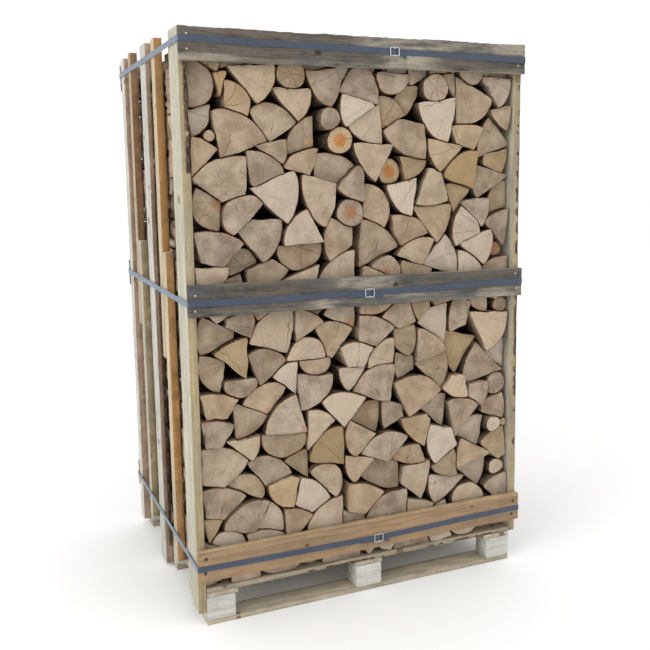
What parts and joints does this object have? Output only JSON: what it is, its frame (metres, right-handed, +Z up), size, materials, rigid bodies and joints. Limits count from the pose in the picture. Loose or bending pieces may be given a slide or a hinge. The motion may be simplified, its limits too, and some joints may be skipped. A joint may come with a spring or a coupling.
{
  "type": "firewood crate",
  "caption": "Pallet crate of split firewood: logs stacked between side battens, held by cross boards and three buckled webbing straps.",
  "frame": {"origin": "on the ground, under the middle of the crate's bounding box", "axes": "+X to the right seen from the front, +Y from the front to the back, +Z up"},
  "size_m": [1.266, 1.0536, 1.972],
  "materials": {
    "pallet_board": "rough-sawn softwood, dusty grey-brown from use",
    "pallet_block": "pale rough-sawn block",
    "pale_batten": "rough-sawn pale yellow softwood",
    "orange_batten": "rough-sawn resin-yellow softwood",
    "brown_batten": "rough-sawn browned softwood",
    "grey_batten": "rough-sawn softwood weathered grey, with bark left on one edge",
    "weathered_board": "old board, weathered dark grey",
    "fresh_board": "fresh rough-sawn board, orange-brown, with knots",
    "firewood": "split dry hardwood with sawn ends and bark",
    "webbing": "woven polyester strap, steel blue",
    "galvanized_wire": "galvanized wire, dull silver"
  },
  "bodies": {
    "root": {"bottom_runner_front": "pallet_board", "bottom_runner_middle": "pallet_board", "bottom_runner_back": "pallet_board", "block_front_left": "pallet_block", "block_front_middle": "pallet_block", "block_front_right": "pallet_block", "block_middle_left": "pallet_block", "block_middle_middle": "pallet_block", "block_middle_right": "pallet_block", "block_back_left": "pallet_block", "block_back_middle": "pallet_block", "block_back_right": "pallet_block", "stringer_left": "pallet_board", "stringer_middle": "pallet_board", "stringer_right": "pallet_board", "deck_board_1": "pallet_board", "deck_board_2": "pallet_board", "deck_board_3": "pallet_board", "deck_board_4": "pallet_board", "deck_board_5": "pallet_board", "deck_board_6": "pallet_board", "deck_board_7": "pallet_board", "left_corner_post_front": "pale_batten", "left_upper_batten_front": "orange_batten", "left_lower_batten_front": "orange_batten", "left_middle_plank": "grey_batten", "left_upper_batten_back": "brown_batten", "left_lower_batten_back": "pale_batten", "left_corner_post_back": "grey_batten", "right_corner_post_front": "pale_batten", "right_upper_batten_front": "pale_batten", "right_lower_batten_front": "orange_batten", "right_middle_plank": "grey_batten", "right_upper_batten_back": "orange_batten", "right_lower_batten_back": "brown_batten", "right_corner_post_back": "pale_batten", "front_board_top": "weathered_board", "front_board_middle": "weathered_board", "front_board_bottom": "fresh_board", "back_board_top": "weathered_board", "back_board_middle": "weathered_board", "back_board_bottom": "fresh_board", "log_row_front": "firewood", "log_row_middle": "firewood", "log_row_back": "firewood", "strap_top": "webbing", "strap_middle": "webbing", "strap_bottom": "webbing", "buckle_top": "galvanized_wire", "buckle_middle": "galvanized_wire", "buckle_bottom": "galvanized_wire"}
  },
  "joints": []
}
